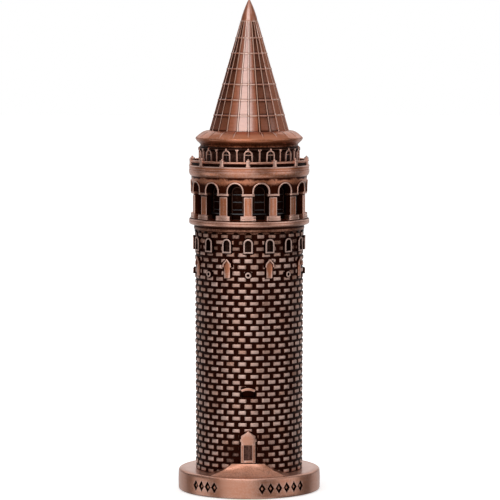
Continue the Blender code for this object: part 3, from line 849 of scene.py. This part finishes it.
def arcade():
    """Fourteen piers on plinths, joined by round arches. Patina darkens them away from their faces."""
    foot = CORNICE_TOP - 0.02

    # Painted light: the wall is darkest low down between the arches, painted lighter up to a highlight band
    # under the deck, and dark again just under the deck, painted shade with some dirt. Inward of the faces
    # patina darkens it.
    def arch_wear_and_painted_light(radius, level):
        wall = 0.04 + 0.84 * ramp(level, 112.2, 114.4) - 0.75 * ramp(level, 114.85, 115.1)
        return np.where(radius > ARCADE_R + 0.15, 1.15, wall) * ramp(radius, 20.4, 21.1)

    def worn_pier(radius, level):
        return 1.25 * ramp(radius, 20.3, 20.66)

    def worn_rubbed(radius, level):
        return 1.35 * ramp(radius, 20.5, 21.2)

    arches = ringed(arcade_bay(), ARCADE_R, BAYS, BAY / 2)
    made("arcade_arches", arches, COPPER, ["arcade_ring"], 40, arch_wear_and_painted_light, warmth=0.6)
    pier = block(1.56, 101.8, 108.7, sunk(-2.4, 0.0, 0.34, 0.09, 0.1))
    made("arcade_piers", ringed(pier, PIER_R, BAYS), COPPER, worn_and_shaded=worn_pier, warmth=0.7)
    plinth = merged(
        block(2.74, foot, 100.92, raised(-2.6, 0.72, 0.16), across=6),
        block(2.68, 100.85, 101.98, raised(-2.5, 0.64, 0.16), across=6),
    )
    made("arcade_pier_plinths", ringed(plinth, PIER_R, BAYS), COPPER, worn_and_shaded=worn_rubbed)
    impost = merged(
        block(1.5, 108.6, 109.25, raised(-2.4, -0.35, 0.1), across=6),
        block(2.3, 109.15, 109.97, raised(-2.5, 0.6, 0.16), across=6),
    )
    made("arcade_imposts", ringed(impost, PIER_R, BAYS), COPPER, worn_and_shaded=worn_rubbed)


def arcade_drum():
    """The dark drum behind the arches, with a dado and a ladder of rails in each bay."""
    foot, top = CORNICE_TOP + 0.25, ARCADE_TOP + 0.25
    wall = [(0, top), (0, 103.0), (0.15, 102.9), (0.45, 102.7), (0.45, 102.35), (0.2, 102.2), (0.2, 101.0)]
    wall += [(0.5, 100.8), (0.5, foot)]
    bore = [(DRUM_BORE_R, foot), (DRUM_BORE_R, 111.9), (ROD_HOLE_R, 111.9)]
    profile = [(ROD_HOLE_R, top), *standing(DRUM_R, wall), *bore]

    # Painted highlight: the dado's face is pushed to the patina's bluish edge colour.
    def worn_and_shaded(radius, level):
        return np.where((radius > DRUM_R + 0.3) & (level > 102.0), 2.0, 0.5)

    made("arcade_drum_wall", turned(fine(profile)), PATINA, ["arcade_drum"], worn_and_shaded=worn_and_shaded)
    surround = swept(arch_path(1.95, 102.9, 110.3), bead_section(0.2, -0.3, 0.32))
    rails = (104.0, 106.8, 109.5)
    rungs = [block(1.75, level - 0.17, level + 0.17, raised(-0.3, 0.42, 0.15)) for level in rails]
    made("arcade_drum_surrounds", ringed(surround, DRUM_R, BAYS, BAY / 2), PATINA, worn_and_shaded=0.7)
    # Painted highlight: the rails are pushed to the patina's bluish edge colour.
    made("arcade_drum_rails", ringed(merged(*rungs), DRUM_R, BAYS, BAY / 2), PATINA, worn_and_shaded=1.7)


def deck():
    """The deck: a plain fascia with a fillet at its head, over a broad ovolo and a dark recess."""
    foot = ARCADE_TOP + 0.35
    rim = [
        (-0.35, DECK_TOP), (-0.1, DECK_TOP - 0.06), (0, DECK_TOP - 0.18), (0, 119.15), (-0.12, 119.08),
        (-0.12, 118.1), (-0.2, 118.0), (-0.2, 117.9), (-0.05, 117.8), (-0.03, 117.3), (-0.1, 116.8),
        (-0.25, 116.3), (-0.48, 115.9), (-0.7, 115.65), (-0.85, 115.62), (-0.85, foot),
    ]
    profile = [(ROD_HOLE_R, DECK_TOP), *standing(DECK_R, rim), (ROD_HOLE_R, foot)]

    # Painted shade: the deck's top is darker inward of its rim, behind the railing, and all that lies inward
    # of the ovolo's face is darker, painted shade under the overhang with some dirt.
    def worn_and_shaded(radius, level):
        floor = np.where(level > DECK_TOP - 0.1, ramp(radius, 21.2, 21.8), 1.0)
        return floor * (0.1 + 1.02 * ramp(radius, 21.3, 21.5))

    plate = turned(fine(profile))
    made("balcony_deck_plate", plate, COPPER, ["balcony_deck"], worn_and_shaded=worn_and_shaded, warmth=0.8)


def railing():
    """The handrail on fourteen posts with a finial on each, and a thin dark wall set back behind the posts:
    painted shade filling the gap under the rail.
    """
    low, high = 120.7, 121.45
    rail_r, rail_half = DECK_R - 0.6, 0.4
    inner, outer = rail_r - rail_half, rail_r + rail_half
    section = arc((rail_r, high - 0.36), rail_half, 0, 180, 8)
    section += [(inner, low + 0.2), (inner + 0.2, low), (outer - 0.2, low), (outer, low + 0.2)]
    made("balcony_handrail", turned(section[::-1]), COPPER, ["balcony_railing"], worn_and_shaded=0.85)
    # Painted shade: a dark wall fills the gap between the deck and the rail.
    wall = [(rail_r, low + 0.1), (rail_r, DECK_TOP), (inner, DECK_TOP), (inner, low + 0.1)]
    made("balcony_painted_shade_wall", turned(fine(wall)), PATINA, worn_and_shaded=0.4)
    posts = merged(
        block(0.82, DECK_TOP - 0.05, DECK_TOP + 0.4, raised(-1.35, 0.06, 0.1), across=2),
        block(0.68, DECK_TOP + 0.3, 121.6, raised(-1.2, 0.0, 0.1), across=2),
        block(0.76, 121.3, 122.0, raised(-1.3, 0.05, 0.1), across=2),
        ball(0.4, 0, -0.6, 122.2, steps=14),
    )
    made("balcony_posts", ringed(posts, DECK_R, BAYS), COPPER, worn_and_shaded=1.15)


def gallery():
    """The dark gallery wall, its arched windows with transoms, and slender pilasters between them."""
    foot, top = DECK_TOP - 0.02, GALLERY_TOP + 0.1
    wall = [(0, top), (0, 126.1), (0.55, 126.0), (0.75, 125.85), (0.75, 125.65), (0.5, 125.5), (0, 125.35)]
    wall += [(0, 120.3), (0.4, 120.15), (0.4, foot)]
    bore = [(DRUM_BORE_R, foot), (DRUM_BORE_R, 124.4), (ROD_HOLE_R, 124.4)]
    profile = [(ROD_HOLE_R, top), *standing(GALLERY_WALL_R, wall), *bore]
    made("gallery_wall", turned(fine(profile)), PATINA, ["gallery_drum"], worn_and_shaded=0.7, warmth=0.1)
    half, low, spring = 1.36, 119.9, 123.85
    frames = swept(arch_path(half, low, spring), bead_section(0.24, -0.3, 0.68))
    transom = block(half, 123.6, 123.9, raised(-0.3, 0.5, 0.08))
    keystone = slab([(0.24, 125.2), (0.36, 125.75), (0, 126.25)], raised(-0.3, 0.84, 0.08), across=2)
    windows = ringed(merged(frames, transom, keystone), GALLERY_WALL_R, BAYS)
    made("gallery_windows", windows, COPPER, worn_and_shaded=1.1)
    mullion = block(0.12, low, 125.1, raised(-0.3, 0.3, 0.06), across=2)
    made("gallery_mullions", ringed(mullion, GALLERY_WALL_R, BAYS), PATINA)
    shaft = slab([(0.3, 120.2), (0.26, 124.9), (0.34, 125.0)], raised(-0.3, 0.6, 0.12), across=2)
    capital_edge = [(0.3, 124.9), (0.42, 125.2), (0.66, 125.55), (0.66, 125.8)]
    capital = slab(capital_edge, raised(-0.3, 0.78, 0.1), across=2)
    foot_block = block(0.48, 119.7, 120.3, raised(-0.3, 0.62, 0.1), across=2)
    pilaster = merged(shaft, capital, foot_block)
    made("gallery_pilasters", ringed(pilaster, GALLERY_WALL_R, BAYS, BAY / 2), COPPER)


# Roof


def seamed(name, rows, finish, nodes, warmth, patina):
    """Makes sheet roofing of one strip to a seam, with a rib on each seam. A row is (radius, height, rib,
    flatness, wear), where flatness is how straight the strips run across, 0 being round. Warmth has an
    amount for each strip in each row. Patina is how much each strip is darkened beside its rib; the cone
    fills it mostly with painted shade, and with painted light where it is below nought."""
    pitch = 2 * math.pi / SEAMS
    shape, wear_and_shading_rows, tints = [], [], []
    for (radius, height, rib, flatness, wear_and_shading), strip_warmth in zip(rows, warmth):
        foot = min(0.28, 0.24 * pitch * radius) / radius
        crest = foot * 0.6
        stand = min(1.0, rib / 0.16)
        low, high = wear_and_shading * (1 - 0.6 * stand), wear_and_shading + (1 - wear_and_shading) * stand
        # (turn, share of the rib's height, wear)
        points = [(-foot, 0.0, low), (-crest, 1.0, high), (0.0, 1.15, high), (crest, 1.0, high)]
        points.append((foot, 0.0, low))
        points += [(foot + (pitch - 2 * foot) * share, 0.0, wear_and_shading) for share in (0.12, 0.5, 0.88)]
        turns, lifts, shine = np.tile(np.transpose(points), SEAMS)
        seams = np.repeat(np.arange(SEAMS) * pitch, len(points))
        chord = math.cos(pitch / 2) / np.cos(turns % pitch - pitch / 2)
        reach = radius * (1 + flatness * (chord - 1)) + rib * lifts
        shape.append(wheel(reach, seams + turns, height))
        wear_and_shading_rows.append(shine - np.repeat(patina, len(points)) * (1 - lifts))
        tints.append(np.repeat(strip_warmth, len(points)))
    mesh = mesh_from(name, grid(shape, round_rows=True, round_columns=True), weld=False)
    store(mesh, "wear_and_shading", wear_and_shading_rows)
    store(mesh, "tint", tints)
    piece(name, mesh, finish, nodes)


def skirt():
    """The bell-cast eave, with the roof's seams fading out over it."""
    foot = GALLERY_TOP - 0.1
    inner_r, soffit = 17.85, 127.0
    under = [(inner_r, soffit), (18.0, 127.2), (18.4, 127.6), (18.9, 128.05), (19.28, 128.45)]
    under.append((19.52, 128.85))
    rows = [(inner_r, foot, 0, 0, 0.1)]
    # Painted shade: the eave's underside is darker deeper in, towards the wall.
    rows += [(radius, height, 0, 0, 0.26 + 0.14 * (height - soffit)) for radius, height in fine(under)]
    rows += [(EAVE_R, height, 0, 0, 0.7) for height in (129.1, EAVE_LEVEL - 0.12)]
    reach, rise = EAVE_R - CONE_FOOT_R, SKIRT_TOP - EAVE_LEVEL
    for out in (0.985, 0.95, 0.9, 0.8, 0.7, 0.6, 0.5, 0.4, 0.3, 0.2, 0.1, 0.0):
        rib = min(0.18, 0.34 * (1 - out))
        radius, height = CONE_FOOT_R + reach * out, EAVE_LEVEL + rise * (1 - out**2)
        rows.append((radius, height, rib, 0.3 * (1 - out), 0.45 + 0.2 * out))
    rows.append((CONE_FOOT_R - 1.5, SKIRT_TOP + 0.15, 0, 0.3, 0.1))
    rows.append((ROD_HOLE_R, SKIRT_TOP + 0.15, 0, 0, 0.1))
    rows.append((ROD_HOLE_R, foot, 0, 0, 0.1))
    warmth = np.full((len(rows), SEAMS), 0.85)
    seamed("roof_skirt_sheet", rows, COPPER, ["roof_skirt"], warmth, np.zeros(SEAMS))


def cone():
    """The conical roof in nearly round strips, with standing seams and evenly spaced raised laps."""
    foot, head, lap_pitch = SKIRT_TOP, TIP_FOOT + 0.3, 5.6
    slope = (CONE_HEAD_R - CONE_FOOT_R) / (head - foot)
    rib, flatness = 0.16, 0.15

    def wall_r(level):
        return CONE_FOOT_R + slope * (level - foot)

    # (rise, stand, wear) through a lap
    lap = [(-0.3, 0.0, 0.4), (-0.2, 0.13, 0.95), (0.1, 0.16, 1.0), (0.22, 0.1, 0.9), (0.34, 0.0, 0.4)]
    sections = [(foot, 0.0, 0.3), (foot + 0.6, 0.0, 0.6)]
    level = foot + lap_pitch
    while level < head - 0.4:
        # Painted shade: the strips darken towards the top, where the highlight falls off.
        painted_shade_upward = 0.2 * (level - foot) / (head - foot)
        sections += [(level - 0.8 * lap_pitch, 0.0, 0.64 - painted_shade_upward), (level - 0.2 * lap_pitch, 0.0, 0.6 - painted_shade_upward)]
        sections += [(level + up, stand, wear_and_shading) for up, stand, wear_and_shading in lap]
        level += lap_pitch
    sections.append((head, 0.0, 0.42))
    rows = [(wall_r(z) + stand, z, rib, flatness, wear_and_shading) for z, stand, wear_and_shading in sections]
    rows.append((ROD_HOLE_R, head, 0, 0, 0.1))
    rows.append((ROD_HOLE_R, foot, 0, 0, 0.1))
    random = np.random.default_rng(5)
    middles = (np.arange(SEAMS) + 0.5) * 360 / SEAMS

    def near(angle, low, high):
        """1 on the strips nearest to an angle in degrees, and 0 away from it."""
        return ramp(np.cos(np.radians(middles - angle)), low, high)

    # Painted shade and light: the strips left of the front and those a little right of it are darker, and
    # those far right lighter and less warm; a little random patina is added.
    left, right, painted_light_far_right = near(-64, 0.84, 0.95), near(32, 0.93, 0.98), near(75, 0.8, 0.95)
    whole_strip = random.uniform(0.0, 0.75, SEAMS) - 0.5 * painted_light_far_right
    warmth = [whole_strip + random.uniform(-0.1, 0.15, SEAMS) for _ in rows]
    patina = 0.3 * left + 0.18 * right - 0.08 * painted_light_far_right + random.uniform(0, 0.04, SEAMS)
    seamed("roof_cone_sheet", rows, "sheet_copper", ["roof_cone"], warmth, patina)


def tip():
    """The smooth point of the roof, rising from a thin collar."""
    foot, collar_r, steps = TIP_FOOT + 0.1, CONE_HEAD_R + 0.14, 16
    collar_top = foot + 0.5
    outline = [(AXIS_R, foot), (CONE_HEAD_R + 0.02, foot), (collar_r, foot + 0.08), (collar_r, foot + 0.4)]
    outline.append((CONE_HEAD_R, collar_top))
    for step in range(1, steps + 1):
        up = (step / steps) ** 0.85
        radius = max(AXIS_R, (CONE_HEAD_R - 0.02) * (1 - up**1.25) ** 0.9)
        outline.append((radius, collar_top + (TIP_TOP - collar_top) * up))
    point = turned(outline[::-1], closed=False, steps=64)
    made("roof_tip_point", point, "sheet_copper", ["roof_tip"], worn_and_shaded=0.95)


def hardware():
    """The fixings inside keep their CAD shapes, softened by a small bevel, in turned metal."""
    for node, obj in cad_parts.items():
        if obj.hide_render:
            continue
        finish = "brass" if node == "roof_insert" else "zinc_plated_steel"
        obj.data.materials.clear()
        obj.data.materials.append(MATERIALS[finish])
        edge = obj.modifiers.new("edge", "BEVEL")
        edge.width = 0.12 * MM
        edge.segments = 2
        edge.limit_method = "ANGLE"
        edge.angle_limit = math.radians(50)


# Studio


CAMERA_DISTANCE = 1008.0
CAMERA_LEVEL = 172.0
CAMERA_TILT = 4.755
CAMERA_TURN = 1.0
CAMERA_ASIDE = 0.3
LENS = 198.65


def camera():
    """The camera, level with the roof and a long way off, tilted down a little."""
    data = bpy.data.cameras.new("camera")
    data.sensor_width = 36.0
    data.lens = LENS
    data.clip_start = 0.05
    data.clip_end = 20.0
    obj = in_scene("camera", data)
    turn = math.radians(CAMERA_TURN)
    back = Vector((math.sin(turn), -math.cos(turn), 0.0)) * CAMERA_DISTANCE
    right = Vector((math.cos(turn), math.sin(turn), 0.0)) * CAMERA_ASIDE
    obj.location = (back + right + Vector((0, 0, CAMERA_LEVEL))) * MM
    obj.rotation_euler = (math.radians(90 - CAMERA_TILT), 0.0, turn)
    bpy.context.scene.camera = obj


def softbox(name, azimuth, elevation, width, height, watts, distance=0.9):
    """A large soft light facing the figurine, azimuth 0 at the front and positive to its right."""
    data = bpy.data.lights.new(name, "AREA")
    data.shape = "RECTANGLE"
    data.size = width
    data.size_y = height
    data.energy = watts
    obj = in_scene(name, data)
    turn, rise = math.radians(azimuth), math.radians(elevation)
    way = Vector((math.sin(turn) * math.cos(rise), -math.cos(turn) * math.cos(rise), math.sin(rise)))
    obj.location = way * distance + Vector((0, 0, 0.5 * TIP_TOP * MM))
    obj.rotation_euler = way.to_track_quat("Z", "Y").to_euler()
    obj.visible_camera = False


def surroundings():
    """White to the camera, and a dim grey room to everything else."""
    world = bpy.data.worlds.new("studio")
    world.use_nodes = True
    tree = world.node_tree
    tree.nodes.clear()
    seen = linked(tree, "LightPath").outputs["Is Camera Ray"]
    room = linked(tree, "Background", Color=(1, 1, 1, 1), Strength=0.1).outputs[0]
    white = linked(tree, "Background", Color=(1, 1, 1, 1), Strength=1.0).outputs[0]
    mix = linked(tree, "MixShader")
    for socket, value in zip(mix.inputs, (seen, room, white)):
        feed(socket, value)
    linked(tree, "OutputWorld", Surface=mix.outputs[0])
    bpy.context.scene.world = world


def floor():
    """A large pale disc. It glows a little, so that it stays white away from the lights."""
    mesh = mesh_from("floor", turned([(AXIS_R, 0.0), (200, 0.0), (4000, 0.0)], closed=False, steps=96))
    obj = in_scene("floor", mesh)
    material, shader, place = new_material("pale_floor")
    distance = linked(material.node_tree, "VectorMath")
    distance.operation = "LENGTH"
    feed(distance.inputs[0], place)
    glow = ranged(distance.outputs["Value"], 30 * MM, 160 * MM, 0.55, 1.0)
    filled(shader, Base_Color=(0.85, 0.85, 0.85, 1.0), Roughness=0.9, Specular_IOR_Level=0.0)
    filled(shader, Emission_Color=(1.0, 1.0, 1.0, 1.0), Emission_Strength=glow)
    mesh.materials.append(material)
    obj.visible_glossy = False
    obj.visible_shadow = False


def studio():
    """The floor, the surroundings and the lights. Angles in degrees, sizes in metres, power in watts."""
    bpy.context.scene.view_settings.view_transform = "Standard"
    surroundings()
    floor()
    softbox("key", -17, 4, 1.0, 1.0, 2.6)
    softbox("high_key", -14, 38, 0.74, 0.3, 1.65)
    softbox("right_fill", 66, 3, 0.7, 0.75, 1.3)
    softbox("left_fill", -82, -17, 0.5, 0.45, 0.58)
    softbox("overhead", 0, 82, 2.2, 1.6, 6.5, 1.0)
    softbox("bounce", 0, -50, 1.4, 0.8, 2.0)
    softbox("back_low", 180, -13, 2.8, 0.6, 2.7)
    softbox("back_top", 180, 8, 0.6, 0.3, 0.24)
    softbox("back_high", 180, 34, 1.9, 0.5, 2.6)


camera()
felt_pad()
base()
mound()
masonry()
shaft_windows()
shaft_panels()
slit()
door()
lower_cornice()
arcade()
arcade_drum()
deck()
railing()
gallery()
skirt()
cone()
tip()
hardware()
studio()
